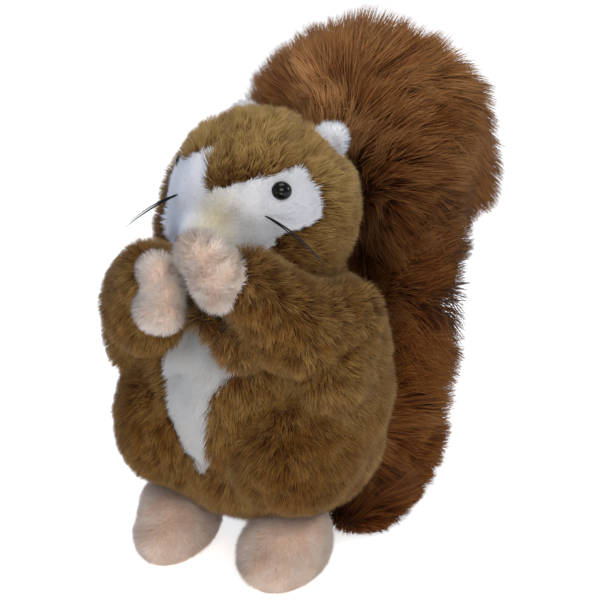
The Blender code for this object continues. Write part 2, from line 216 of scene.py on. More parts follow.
def forms():
    form("trunk", (0, 7, 54), (BODY_W - 6.5, BODY_D - 2, 37))
    form("trunk", (0, 1, 77), (BODY_W, BODY_D, 44))
    form("trunk", (0, 1, 94), (BODY_W - 1.5, BODY_D - 2, 38))
    form("trunk", (0, -8, 84), (34, 40, 31))
    form("trunk", (0, 6, 120), (34, 32, 22))
    for s in (-1, 1):
        form("trunk", (s * 41, -16, 97), (17, 22, 22))
        form("trunk", (s * 46, -10, 104), (12, 18, 16))
    head_form("head", (0, 0, 0), (HEAD_R, HEAD_R - 0.5, HEAD_R - 0.5))
    for s in (-1, 1):
        head_form("head", (s * 19, -8, -11), (21, 24, 21))
        head_form("ear", (s * EAR[0], EAR[1], EAR[2]), (8.2, 4.9, 8.4), (0, s * 20, 0))
        head_form("ear", (s * (EAR[0] - 2.5), EAR[1], EAR[2] - 5), (7.0, 4.9, 6.0))
    head_form("head", (0, -27, -5), (19, 19, 15))
    head_form("head", (0, -33, -7), (13, 15, 11))
    shoulder = (41.3, -3.0, 112.5, 16.0)
    for s, elbow, wrist in ((1, (34.5, -30.0, 115.5, 19.5), (23.5, -46.5, 136.0, 15.0)),
                            (-1, (28.0, -30.0, 114.8, 22.2), (19.6, -46.5, 133.8, 13.4))):
        run("arm", [(s * p[0], p[1], p[2], p[3]) for p in (shoulder, elbow, wrist)])
    form("arm", (17.0, -42.0, 110.5), (12.5, 11.5, 12.5))
    form("arm", (11.5, -46.5, 116.0), (9.0, 9.5, 9.0))
    form("arm", (6.5, -50.0, 121.0), (8.5, 9.0, 8.5))
    form("paw", (9.2, -56.0, 148.3), (11.4, 10.0, 10.0))
    form("paw", (16.3, -56.5, 141.1), (12.6, 11.5, 12.6))
    form("paw", (16.6, -57.0, 135.3), (9.0, 9.0, 9.0))
    form("paw", (-10.4, -55.0, 138.2), (8.4, 8.5, 8.6))
    form("paw", (-9.6, -55.0, 122.8), (11.5, 9.5, 9.7))
    form("paw", (-9.4, -52.0, 130.5), (9.8, 9.5, 10.5))
    for s in (-1, 1):
        form("leg", (s * 29.5, -13, 66), (24, 36, 34.5), (0, s * -4, s * -6))
        form("leg", (s * 19.5, -22, 63), (15.5, 26, 29))
        form("leg", (s * 26, 0, 44), (23, 23, 15.5))
        form("leg", (s * 25, -1, 37), (15, 13, 10))
    for x, y, a, b, turn in ((21.0, -15.5, 18.5, 26.5, 4.0), (-27.9, -17.0, 15.0, 26.0, -2.0)):
        form("foot", (x, y, 14.4), (a, b, 16.0), (0, 0, turn), 1.0)
        form("foot", (x, y + 2, 11.4), (a - 1, b - 3, 12.9), (0, 0, turn), 1.0)
    form("foot", (21.5, -13.5, 19.0), (17.6, 21.5, 13.8))
    form("foot", (22.0, -12.0, 22.5), (16.5, 15.0, 11.0))
    form("foot", (-30.4, -15.5, 18.5), (14.4, 20.5, 13.4))
    form("foot", (-33.0, -14.0, 22.0), (13.5, 15.0, 11.0))
    n = 34
    for k in range(n + 1):
        t = k / n
        x, y, z, w, h = tail_at(t)
        y1, z1 = tail_at(min(t + 0.02, 1.0))[1:3]
        y0, z0 = tail_at(max(t - 0.02, 0.0))[1:3]
        lean = math.degrees(math.atan2(y1 - y0, z1 - z0))
        form("tail", (x, y, z), (w, h, h * 0.75), (-lean, 0, 0))
    for s in (-1, 1):
        for y in (46.0, 68.0):
            form("tail", (s * 27, y, 11.0), (20.5, 24, 13), low=1.0)
        form("tail", (s * 25, 84, 24), (21, 25, 23), low=0.7)


forms()


def spread(p, shrink=False):
    """How far outside each part's forms each point is, in millimetres, one column per part."""
    out = np.full((len(p), len(PARTS)), 1e3)
    for part, at, radii, rot, low in FORMS:
        c, r = inner(part, at, radii, low) if shrink else (at, radii)
        q = (p - c) @ rot / r
        f = np.linalg.norm(q, axis=1)
        slope = np.linalg.norm(q / r, axis=1) / np.maximum(f, 1e-6)
        d = np.where(f > 0.35, (f - 1.0) / np.maximum(slope, 1e-6), -0.6 * r.min())
        j = PARTS.index(part)
        out[:, j] = np.minimum(out[:, j], d)
    return out


def inner(part, at, radii, low):
    """A form shrunk by its coat's depth; where it stands, its underside stays down."""
    d = COAT[part]
    if part == "tail":
        d = min(d, 0.62 * radii.min()) if low == 0 else 7.0
    r = np.maximum(radii - d, 0.30 * radii)
    c = at.copy()
    c[2] -= (radii[2] - r[2]) * low
    return c, r


# ---- markings --------------------------------------------------------------------------------------------
# the mask's edge on each half of the face, as degrees from straight ahead: (sideways, up)
MASK_HIGH = [(0, 21.5), (5, 23.8), (11.6, 26.3), (15.4, 31.0), (23.7, 33.6), (31.4, 36.9), (37.7, 39.5), (42.1, 42.8),
             (46, 47.3), (53.6, 49.7), (58.5, 46.7), (62.5, 40.7), (67.5, 35.9), (72, 28.6), (75.8, 19.8), (74.6, 12.2),
             (68.3, 7.0), (61, 3.8), (54.9, 3.0), (49.1, 2.0), (46.3, -1.5), (44.4, -7.0), (41.2, -9.0)]
MASK_FAR = [(0, 21.0), (1.2, 21.3), (6.5, 27), (10.2, 34), (11.8, 41.6), (12.5, 49.7), (14.5, 49.5), (21.7, 44.3), (26.7, 38.6),
            (32, 34.5), (40, 34.5), (52, 37), (60, 36), (62, 28), (62, 20), (60, 12), (57, 4), (53, -4), (50, -10), (44, -17)]
CHIN = [(38, -24), (26, -36), (10, -44), (0, -46)]
MASK_LEFT = MASK_HIGH + CHIN
MASK_RIGHT = [(-a, e) for a, e in MASK_FAR + CHIN]
# the belly patch, (sideways, up) in millimetres
BIB = [(-4, 50), (-1.5, 54), (1, 66), (2.5, 78), (3.5, 86), (7, 92), (12, 98), (17, 106), (19, 112), (16, 128), (-14, 128), (-20, 112),
       (-19, 94), (-17, 84), (-12.5, 70), (-9.5, 60), (-7, 52)]


def inside(q, poly):
    """Signed distance from a closed outline in its own units, positive inside."""
    poly = np.array(poly, float)
    a, b = poly, np.roll(poly, -1, axis=0)
    best = np.full(len(q), 1e9)
    odd = np.zeros(len(q), bool)
    for (x0, y0), (x1, y1) in zip(a, b):
        e = np.array((x1 - x0, y1 - y0))
        w = q - (x0, y0)
        t = np.clip((w @ e) / max(e @ e, 1e-9), 0, 1)
        best = np.minimum(best, np.linalg.norm(w - t[:, None] * e, axis=1))
        if y0 != y1:
            cross = (q[:, 1] < y0) != (q[:, 1] < y1)
            odd ^= cross & (q[:, 0] < (x1 - x0) * (q[:, 1] - y0) / (y1 - y0) + x0)
    return np.where(odd, best, -best)


def facing(p):
    """Directions from the head's middle, as degrees sideways and up from straight ahead, and the head's own axes."""
    h = (p - HEAD_AT) @ HEAD_ROT
    r = np.linalg.norm(h, axis=1)
    al = np.degrees(np.arccos(np.clip(-h[:, 1] / np.maximum(r, 1e-6), -1, 1)))
    be = np.arctan2(h[:, 2], h[:, 0])
    return np.stack([al * np.cos(be), al * np.sin(be)], 1), h


def mask(p):
    """Millimetres inside the face's white mask."""
    q, _ = facing(p)
    d = np.maximum(inside(q, MASK_LEFT + [(-0.5, -46), (-0.5, 21.5)]), inside(q, MASK_RIGHT + [(0.5, -46), (0.5, 21.5)]))
    return d * 0.66


# the crown's panel ends at a seam on each side: (sideways, up) in degrees
SEAM_LEFT = np.array([(45.8, 48.0), (44.6, 55.0), (45.2, 61.0), (48.5, 68.0), (54.0, 76.0)])
SEAM_RIGHT = np.array([(-9.0, 49.0), (-11.0, 55.0), (-15.0, 62.0), (-20.0, 66.0), (-29.0, 69.0), (-36.0, 71.0), (-48.0, 73.0),
                       (-61.0, 73.0), (-87.0, 68.0)])
# and the crown falls away in a hollow in front of the left ear
HOLLOW = np.array([(37.0, 78.0), (36.0, 86.0), (33.0, 97.0), (28.0, 106.0), (19.0, 118.0), (8.0, 129.0)])


def off_line(p, line):
    best = np.full(len(p), 1e9)
    for a, b in zip(line, line[1:]):
        u = np.clip((p - a) @ (b - a) / ((b - a) @ (b - a)), 0, 1)
        best = np.minimum(best, np.linalg.norm(p - a - u[:, None] * (b - a), axis=1))
    return best


def seam(q):
    """1 in the groove where the crown's panel meets the sides, 0 away from it."""
    left = np.exp(-((off_line(q, SEAM_LEFT) * 0.66 / 2.1) ** 2)) * 0.9
    right = np.exp(-((off_line(q, SEAM_RIGHT) * 0.66 / 3.2) ** 2))
    notch = 1.5 * np.exp(-((off_line(q, HOLLOW) * 0.66 / 6.5) ** 2))
    return np.maximum(np.maximum(left, right), notch)


def bib(p):
    q = p[:, [0, 2]]
    return np.where(p[:, 1] < -8, inside(q, BIB), -9.0)


# ---- the skin --------------------------------------------------------------------------------------------
def build_skin():
    bm = bmesh.new()
    for part, at, radii, rot, low in FORMS:
        c, r = inner(part, at, radii, low)
        m = Matrix.Translation(to_world(c)) @ Matrix(rot).to_4x4() @ Matrix.Diagonal([x * MM for x in r] + [1.0])
        big = r.max() > 16
        bmesh.ops.create_uvsphere(bm, u_segments=32 if big else 20, v_segments=20 if big else 12, radius=1.0, matrix=m)
    me = bpy.data.meshes.new("skin")
    bm.to_mesh(me)
    bm.free()
    o = bpy.data.objects.new("skin", me)
    bpy.context.scene.collection.objects.link(o)
    m = o.modifiers.new("remesh", "REMESH")
    m.mode, m.voxel_size, m.adaptivity = "VOXEL", 0.0016, 0.0
    s = o.modifiers.new("smooth", "SMOOTH")
    s.factor, s.iterations = 0.5, 8
    bpy.context.view_layer.update()
    dg = bpy.context.evaluated_depsgraph_get()
    done = bpy.data.meshes.new_from_object(o.evaluated_get(dg))
    o.modifiers.clear()
    o.data = done
    bpy.data.meshes.remove(me)
    bm = bmesh.new()
    bm.from_mesh(done)
    bmesh.ops.triangulate(bm, faces=bm.faces)
    bm.to_mesh(done)
    bm.free()
    return o


def coords(me):
    co = np.empty(len(me.vertices) * 3, np.float32)
    me.vertices.foreach_get("co", co)
    return co.reshape(-1, 3).astype(float)


def normals(me):
    no = np.empty(len(me.vertices) * 3, np.float32)
    me.vertices.foreach_get("normal", no)
    return no.reshape(-1, 3).astype(float)


def put(me, name, values):
    a = me.attributes.new(name, "FLOAT", "POINT")
    a.data.foreach_set("value", np.ascontiguousarray(values, np.float32))


def shares(p):
    """How much each part has a say at each point of the skin."""
    d = spread(p, shrink=True)
    w = np.exp(-np.clip(d - d.min(axis=1, keepdims=True), 0, 30) / 1.1)
    return w / w.sum(axis=1, keepdims=True), d.argmin(axis=1)


P = {n: i for i, n in enumerate(PARTS)}


def depth(p, part):
    """How deep under the tips of its own part's coat each root is."""
    return -spread(p)[np.arange(len(p)), part]


def colour_fields(p, w, part):
    """White, pink, tail and cream shares at points of the skin."""
    head = part == P["head"]
    m = np.where(head, mask(p), -9.0)
    b = np.where(part == P["trunk"], bib(p), -9.0)
    white = np.maximum(m, b)
    white = np.where(part == P["ear"], 3.0, white)
    pink = np.where((part == P["paw"]) | (part == P["foot"]), 1.0, 0.0)
    tail = np.where(part == P["tail"], 1.0, 0.0)
    return white, pink, tail


skin = build_skin()
co = coords(skin.data) / MM + MID
no = normals(skin.data)
w_v, part_v = shares(co)
# the mask lies a little deeper than the fur round it, and the eyes sit in shallow sockets
dip = np.where(part_v == P["head"], step(mask(co), -2.0, 3.0), 0.0) * 1.3
for s in (1, -1):
    dist = np.linalg.norm(co - on_head(EYE[s]), axis=1)
    dip += 0.4 * (1 - step(dist, 2.0, 6.5))
# the crown's seam
facing_v = facing(co)[0]
dip += np.where(part_v == P["head"], 3.4 * seam(facing_v), 0.0)
co -= no * dip[:, None]
co[:, 2] = np.maximum(co[:, 2], 0.25)
skin.data.vertices.foreach_set("co", to_world(co).astype(np.float32).ravel())
skin.data.update()
skin.data.shade_smooth()
print("skin", len(skin.data.vertices), "vertices", len(skin.data.polygons), "faces")

bpy.context.view_layer.objects.active = skin
skin.select_set(True)
bpy.ops.object.mode_set(mode="EDIT")
bpy.ops.mesh.select_all(action="SELECT")
bpy.ops.uv.smart_project(angle_limit=math.radians(72), island_margin=0.003)
bpy.ops.object.mode_set(mode="OBJECT")
skin.select_set(False)
skin.data.uv_layers[0].name = "OFBake"

white_v, pink_v, tail_v = colour_fields(co, w_v, part_v)
put(skin.data, "white", step(white_v, -0.6, 0.6))
put(skin.data, "pink", pink_v)
put(skin.data, "tail", tail_v)
# painted shade: the trunk's skin, the bib's included, is painted darker for the shade it lies in under the arms and
# paws
put(skin.data, "dim", np.where(part_v == P["trunk"], 0.70, 1.0))


# ---- roots of the coat -----------------------------------------------------------------------------------
def skin_tables():
    me = skin.data
    me.calc_loop_triangles()
    n = len(me.loop_triangles)
    tri = np.empty(n * 3, np.int32)
    loops = np.empty(n * 3, np.int32)
    me.loop_triangles.foreach_get("vertices", tri)
    me.loop_triangles.foreach_get("loops", loops)
    uv = np.empty(len(me.loops) * 2, np.float32)
    me.uv_layers[0].data.foreach_get("uv", uv)
    return tri.reshape(-1, 3), loops.reshape(-1, 3), uv.reshape(-1, 2).astype(float)


TRI, LOOPS, UV = skin_tables()
NO = normals(skin.data)


def sow(share, count):
    """Roots spread over the skin in proportion to share times area: position, normal and place on the unwrap."""
    a, b, c = (co[TRI[:, k]] for k in range(3))
    area = np.linalg.norm(np.cross(b - a, c - a), axis=1) / 2 * share[TRI].mean(axis=1)
    total = np.cumsum(area)
    at = (np.arange(count) + RNG.random(count)) / count * total[-1]
    f = np.clip(np.searchsorted(total, at), 0, len(TRI) - 1)
    r1, r2 = np.sqrt(RNG.random(count)), RNG.random(count)
    bary = np.stack([1 - r1, r1 * (1 - r2), r1 * r2], 1)
    p = np.einsum("nk,nkd->nd", bary, co[TRI[f]])
    n = unit(np.einsum("nk,nkd->nd", bary, NO[TRI[f]]))
    uv = np.einsum("nk,nkd->nd", bary, UV[LOOPS[f]])
    return p, n, uv


EYES = np.array([on_head(EYE[1]), on_head(EYE[-1])])


def flow(p, n, part):
    """The direction the coat lies in, along the skin."""
    _, h = facing(p)
    out = np.zeros_like(p)
    down = np.array((0.0, 0.0, -1.0))
    # head: away from the nose, and down at the back
    away = unit(h - np.array((0.0, -46.0, -8.0)))
    away = away + np.array((0, 0, -1.0)) * step(h[:, 1], 2, 34)[:, None] * 1.3
    away = away @ HEAD_ROT.T
    out = np.where((part == P["head"])[:, None], away, out)
    ear_mid = [on_head((s * EAR[0], EAR[1], EAR[2] - 5)) for s in (1, -1)]
    e = p - np.where(p[:, :1] > 0, ear_mid[0], ear_mid[1])
    out = np.where((part == P["ear"])[:, None], unit(e), out)
    side = np.sign(p[:, :1])
    body = down + np.tanh(p[:, :1] / 12.0) * np.array((0.35, 0.0, 0.0)) + np.array((0.0, 0.25, 0.0))
    out = np.where((part == P["trunk"])[:, None], body, out)
    arm = down * 0.9 + side * np.array((0.25, 0, 0)) + np.array((0.0, -0.2, 0.0))
    out = np.where((part == P["arm"])[:, None], arm, out)
    knee = np.array((26.0, -20.0, 84.0))
    leg = unit(p - np.concatenate([side * knee[0], np.full_like(side, knee[1]), np.full_like(side, knee[2])], 1))
    under = step(-n[:, 2:], 0.05, 0.5)
    leg = leg + down * 0.7 * (1 - under) + np.array((0.0, -0.5, 0.0)) * under
    out = np.where((part == P["leg"])[:, None], leg, out)
    foot = down * 0.5 + np.array((0.0, -0.6, 0.0)) + side * np.array((0.1, 0, 0))
    out = np.where((part == P["foot"])[:, None], foot, out)
    paw = unit(p - np.array((0.0, -44.0, 134.0))) + np.array((0, 0, 0.2))
    out = np.where((part == P["paw"])[:, None], paw, out)
    # tail: along its length, and drooping
    ts = np.linspace(0, 1, 60)
    mid = np.array([tail_at(t)[:3] for t in ts])
    tan = unit(np.gradient(mid, axis=0))
    tl = np.where(part == P["tail"])[0]
    if len(tl):
        near = np.empty(len(tl), int)
        for i0 in range(0, len(tl), 20000):
            q = p[tl[i0 : i0 + 20000]]
            near[i0 : i0 + 20000] = ((q[:, None] - mid[None]) ** 2).sum(-1).argmin(1)
        rise = (step(p[tl, 2], 118, 156) * (1 - step(ts[near], 0.68, 0.78)))[:, None]
        away = unit(p[tl] - mid[near])
        out[tl] = tan[near] * 0.75 + down * (0.55 - 0.42 * rise) + away * 0.5 * rise
        out[tl, 0] += np.tanh((p[tl, 0] - 3.5) / 12.0) * 0.45 * step(-n[tl, 1], 0.0, 0.6)
    out -= n * np.sum(out * n, axis=1, keepdims=True)
    return out


def clumps(p, weight):
    """Which tuft each tuft gathers to; weight is the share of tufts that others gather to."""
    k = max(1, int(len(p) * weight))
    chosen = RNG.choice(len(p), size=k, replace=False)
    tree = KDTree(k)
    for j, i in enumerate(chosen):
        tree.insert(p[i], int(i))
    tree.balance()
    return np.array([tree.find(v)[1] for v in p])


def patch(uv, local):
    """Each tuft's own small patch of the unwrap."""
    q = uv[:, None, :] + (local[None] - 0.5) * 0.003
    return np.clip(q, 0.0005, 0.9995)


CONE_FACES = np.array([(0, 1, 3), (1, 2, 3), (2, 0, 3)])
CONE_UV = np.array([(0.0, 0.0), (0.5, 0.16), (1.0, 0.0), (0.5, 1.0)])
CONE_T = np.array([0.0, 0.0, 0.0, 1.0])
LOCK_FACES = np.array([(0, 2, 1), (0, 3, 2), (0, 1, 3), (4, 1, 2), (4, 2, 3), (4, 3, 1)])
LOCK_UV = np.array([(0.5, 0.0), (0.0, 0.42), (0.5, 0.50), (1.0, 0.42), (0.5, 1.0)])
LOCK_T = np.array([0.0, 0.46, 0.46, 0.46, 1.0])


def ring(axis, spin):
    """Three directions round an axis, for each tuft."""
    u = unit(np.cross(axis, np.where(np.abs(axis[:, 2:]) < 0.9, np.array((0.0, 0, 1)), np.array((1.0, 0, 0)))))
    v = np.cross(axis, u)
    out = []
    for k in range(3):
        a = spin + k * 2 * math.pi / 3
        out.append(u * np.cos(a)[:, None] + v * np.sin(a)[:, None])
    return np.stack(out, 1)


def grow(p, n, lie, lift, length, bend, spray, droop=0.10):
    """Middle and tip of each tuft. lift is its angle from the skin in degrees."""
    lean = np.radians(lift)[:, None]
    d0 = unit(n * np.sin(lean) + unit(lie) * np.cos(lean))
    d0 = unit(d0 + RNG.normal(size=p.shape) * spray)
    d1 = unit(d0 * (1 - bend) + unit(lie) * bend + np.array((0, 0, -droop)))
    L = length[:, None]
    mid = p + d0 * L * 0.46
    return mid, mid + d1 * L * 0.54, d1


def gather(p, mid, tip, to, pull, keep=0.35):
    """Leans tufts towards the tip of the one they gather to."""
    centre = tip[to] + (p - p[to]) * keep
    move = (centre - tip) * pull[:, None]
    return mid + move * 0.30, tip + move


def reach(p, n, mid, tip, part, target, most=1.5):
    """Lengthens or shortens tufts until their tips stand target millimetres outside the part's own outline."""
    for _ in range(2):
        off = spread(tip)[np.arange(len(p)), part] - target
        high = np.maximum(np.sum((tip - p) * n, axis=1), 1.0)
        k = np.clip(1 - off / high, 1 / most, most)[:, None]
        tip = p + (tip - p) * k
        mid = p + (mid - p) * k
    return mid, tip


def above(p, mid, tip):
    """Shortens what would reach below the floor."""
    short = np.clip((p[:, 2] - 0.3) / np.maximum(p[:, 2] - tip[:, 2], 1e-6), 0.35, 1.0)
    short = np.where(tip[:, 2] < 0.3, short, 1.0)[:, None]
    tip = p + (tip - p) * short
    mid = p + (mid - p) * short
    return mid, tip


def shape(p, n, mid, tip, width, soft=0.8, long=False):
    """Vertices and shading normals of tufts, as cones, or as locks that bend half way."""
    mid, tip = above(p, mid, tip)
    root = p - n * 0.5
    d = unit(tip - root)
    spin = RNG.uniform(0, 6.283, len(p))
    r = ring(d, spin)
    w = width[:, None, None]
    end_n = unit(soft * n + (1 - soft) * d)[:, None]
    side_n = unit(soft * n[:, None] + (1 - soft) * r)
    if long:
        v = np.concatenate([root[:, None], mid[:, None] + r * w, tip[:, None]], 1)
        nn = np.concatenate([n[:, None], side_n, end_n], 1)
    else:
        v = np.concatenate([root[:, None] + r * w, tip[:, None]], 1)
        nn = np.concatenate([side_n, end_n], 1)
    low = 0.12 + 0.2 * RNG.random(v.shape[:2])
    v[:, :, 2] = np.where(v[:, :, 2] < low, low, v[:, :, 2])
    return v, nn


def coat(name, v, nn, uv, mat, slot, long=False, **fields):
    """One joined mesh of tufts."""
    faces, local, along = (LOCK_FACES, LOCK_UV, LOCK_T) if long else (CONE_FACES, CONE_UV, CONE_T)
    n, k = v.shape[:2]
    idx = (faces[None] + (np.arange(n) * k)[:, None, None]).reshape(-1)
    me = bpy.data.meshes.new(name)
    me.vertices.add(n * k)
    me.vertices.foreach_set("co", to_world(v.reshape(-1, 3)).astype(np.float32).ravel())
    me.loops.add(len(idx))
    me.loops.foreach_set("vertex_index", idx.astype(np.int32))
    m = len(idx) // 3
    me.polygons.add(m)
    me.polygons.foreach_set("loop_start", np.arange(0, m * 3, 3, dtype=np.int32))
    me.update(calc_edges=True)
    me.shade_smooth()
    layer = me.uv_layers.new(name="OFBake")
    layer.data.foreach_set("uv", patch(uv, local).reshape(-1, 2)[idx].astype(np.float32).ravel())
    put(me, "t", np.tile(along, n))
    for key, val in fields.items():
        put(me, key, np.repeat(val, k))
    me.normals_split_custom_set_from_vertices(nn.reshape(-1, 3))
    me.materials.append(mat)
    o = bpy.data.objects.new(name, me)
    bpy.context.scene.collection.objects.link(o)
    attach(o, "root")
    print(name, n, "tufts", m, "triangles")
    return o


def coats(name, count, v, nn, uv, mat, slot, long=False, **fields):
    """The same coat as several meshes, each spread over the whole of it."""
    order = np.arange(len(v)) % count
    for k in range(count):
        s = order == k
        coat(f"{name}_{k + 1}", v[s], nn[s], uv[s], mat, slot, long, **{key: val[s] for key, val in fields.items()})


# ---- materials -------------------------------------------------------------------------------------------
def nodes_of(name, rough, specular=0.3, sheen=0.0, sheen_tint=(1, 1, 1, 1)):
    m = bpy.data.materials.new(name)
    m.use_nodes = True
    t = m.node_tree
    b = t.nodes["Principled BSDF"]
    b.inputs["Roughness"].default_value = rough
    b.inputs["Specular IOR Level"].default_value = specular
    b.inputs["Sheen Weight"].default_value = sheen
    b.inputs["Sheen Roughness"].default_value = 0.5
    b.inputs["Sheen Tint"].default_value = sheen_tint
    return m, t, b


def attribute(t, name):
    a = t.nodes.new("ShaderNodeAttribute")
    a.attribute_type, a.attribute_name = "GEOMETRY", name
    return a.outputs["Fac"]


def maths(t, op, a, b, clamp=False):
    n = t.nodes.new("ShaderNodeMath")
    n.operation, n.use_clamp = op, clamp
    for i, v in enumerate((a, b)):
        if isinstance(v, (int, float)):
            n.inputs[i].default_value = v
        else:
            t.links.new(v, n.inputs[i])
    return n.outputs[0]


def ramp(t, fac, stops):
    n = t.nodes.new("ShaderNodeValToRGB")
    e = n.color_ramp.elements
    while len(e) < len(stops):
        e.new(0.5)
    for el, (at, rgb) in zip(e, stops):
        el.position, el.color = at, linear(rgb)
    t.links.new(fac, n.inputs["Fac"])
    return n.outputs["Color"]


def mix(t, fac, a, b, how="MIX"):
    n = t.nodes.new("ShaderNodeMix")
    n.data_type, n.blend_type = "RGBA", how
    for sock, v in ((0, fac), (6, a), (7, b)):
        if isinstance(v, (int, float)):
            n.inputs[sock].default_value = v
        elif isinstance(v, tuple):
            n.inputs[sock].default_value = v
        else:
            t.links.new(v, n.inputs[sock])
    return n.outputs[2]


def noise(t, scale, detail=2.0):
    c = t.nodes.new("ShaderNodeTexCoord")
    n = t.nodes.new("ShaderNodeTexNoise")
    n.inputs["Scale"].default_value, n.inputs["Detail"].default_value = scale, detail
    t.links.new(c.outputs["Object"], n.inputs["Vector"])
    return n.outputs["Fac"]


def value(t, colour, amount):
    n = t.nodes.new("ShaderNodeHueSaturation")
    t.links.new(colour, n.inputs["Color"])
    t.links.new(amount, n.inputs["Value"])
    return n.outputs["Color"]


def pile(name, low, high, rough=0.9, specular=0.06, sheen=0.08, tint=(1, 0.9, 0.75, 1), spread_=0.16):
    """Pile that is one colour at its roots and another at its tips. low and high are its darkest and lightest kinds."""
    m, t, b = nodes_of(name, rough, specular, sheen, tint)
    rnd = attribute(t, "rnd")
    along = attribute(t, "t")
    along = maths(t, "ADD", along, maths(t, "MULTIPLY", maths(t, "SUBTRACT", rnd, 0.5), 0.32))
    a, c = ramp(t, along, low), ramp(t, along, high)
    patchy = maths(t, "MULTIPLY", maths(t, "SUBTRACT", noise(t, 130.0), 0.5), 0.4)
    tone = maths(t, "ADD", attribute(t, "tone"), patchy, clamp=True)
    col = mix(t, tone, a, c)
    bright = maths(t, "ADD", maths(t, "MULTIPLY", rnd, spread_), 1.0 - spread_ / 2)
    # the dim attribute carries painted shade where the coats lie in shade, besides random mottling
    bright = maths(t, "MULTIPLY", bright, attribute(t, "dim"))
    t.links.new(value(t, col, bright), b.inputs["Base Color"])
    return m


BROWN = pile(
    "brown_pile",
    [(0.0, (36, 17, 6)), (0.40, (68, 38, 12)), (0.75, (103, 66, 23)), (1.0, (127, 89, 40))],
    [(0.0, (60, 38, 17)), (0.40, (112, 83, 43)), (0.75, (152, 122, 72)), (1.0, (176, 148, 97))],
    sheen=0.06, spread_=0.44,
)
WHITE = pile(
    "white_pile",
    [(0.0, (206, 205, 208)), (0.5, (230, 231, 238)), (1.0, (240, 242, 250))],
    [(0.0, (190, 172, 128)), (0.5, (218, 204, 168)), (1.0, (230, 222, 200))],
    spread_=0.06, sheen=0.05, tint=(1, 1, 1, 1),
)
PINK = pile(
    "pink_pile",
    [(0.0, (204, 166, 142)), (0.5, (216, 186, 165)), (1.0, (227, 209, 194))],
    [(0.0, (216, 196, 182)), (0.5, (221, 206, 195)), (1.0, (228, 219, 212))],
    spread_=0.08, sheen=0.05, tint=(1, 1, 1, 1),
)
TAIL_M = pile(
    "tail_pile",
    [(0.0, (34, 13, 4)), (0.40, (66, 29, 8)), (0.75, (98, 53, 18)), (1.0, (122, 76, 33))],
    [(0.0, (58, 32, 14)), (0.40, (114, 73, 38)), (0.75, (149, 105, 64)), (1.0, (173, 131, 87))],
    sheen=0.05, spread_=0.32,
)


def skin_material():
    m, t, b = nodes_of("plush_backing", 0.9, 0.15)
    n = noise(t, 900.0, 3.0)
    n2 = noise(t, 120.0, 2.0)
    brown = ramp(t, n, [(0.3, (34, 17, 7)), (0.7, (58, 32, 13))])
    white = ramp(t, n, [(0.3, (198, 196, 196)), (0.7, (222, 221, 222))])
    pink = ramp(t, n, [(0.3, (210, 178, 160)), (0.7, (220, 194, 178))])
    tail = ramp(t, n, [(0.3, (26, 10, 4)), (0.7, (48, 22, 8))])
    c = mix(t, attribute(t, "tail"), brown, tail)
    c = mix(t, attribute(t, "pink"), c, pink)
    c = mix(t, attribute(t, "white"), c, white)
    bright = maths(t, "ADD", maths(t, "MULTIPLY", n2, 0.3), 0.85)
    # the dim attribute paints shade on the trunk's skin
    bright = maths(t, "MULTIPLY", bright, attribute(t, "dim"))
    t.links.new(value(t, c, bright), b.inputs["Base Color"])
    bump = t.nodes.new("ShaderNodeBump")
    bump.inputs["Strength"].default_value, bump.inputs["Distance"].default_value = 0.6, 0.0004
    t.links.new(n, bump.inputs["Height"])
    t.links.new(bump.outputs["Normal"], b.inputs["Normal"])
    return m


skin.data.materials.clear()
skin.data.materials.append(skin_material())
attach(skin, "root")
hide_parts("trunk", "head", "ear_left", "ear_right", "arm_left", "arm_right", "paw_left", "paw_right",
            "leg_left", "leg_right", "foot_left", "foot_right", "tail_lower", "tail_middle", "tail_upper")


# ---- the coat --------------------------------------------------------------------------------------------
THIN = 1.0

# standing (degrees from the skin), usual length and half width of a tuft (mm), on each part
LIFT = {"trunk": 64, "head": 62, "ear": 74, "arm": 67, "leg": 66, "paw": 68, "foot": 66, "tail": 58}
LONG = {"trunk": 6.4, "head": 5.8, "ear": 3.8, "arm": 5.8, "leg": 6.4, "paw": 3.8, "foot": 3.6, "tail": 18.0}
WIDE = {"trunk": 0.19, "head": 0.18, "ear": 0.15, "arm": 0.19, "leg": 0.19, "paw": 0.15, "foot": 0.15, "tail": 0.21}


def pick(table, part):
    return np.array([table[n] for n in PARTS])[part].astype(float)


def groom(p, n, part):
    """Drops roots that stand under the toy or behind an eye. The pile is shorter beside the eye than above and below."""
    rel = p[:, None] - EYES[None]
    d = np.linalg.norm(rel, axis=2)
    near = d.argmin(axis=1)
    d = d.min(axis=1)
    rel = rel[np.arange(len(p)), near]
    up = np.abs(rel @ HEAD_ROT[:, 2]) / np.maximum(d, 1e-6)
    keep = ~((p[:, 2] < 0.8) & (n[:, 2] < -0.5)) & (d > 3.3 - 0.35 * step(up, 0.4, 0.9))
    least = np.where(near == 0, 0.60 + 0.55 * step(up, 0.3, 0.8), 1.0)
    return keep, least + (1 - least) * step(d, 3.6, 6.5)


def lengths(p, part, lift, over=1.06):
    """Length that brings a tuft's tip out to the toy's outline."""
    usual = pick(LONG, part)
    want = depth(p, part) * over / np.sin(np.radians(np.clip(lift, 30, 90)))
    return np.clip(want, np.maximum(1.8, usual * 0.45), usual * 1.5)


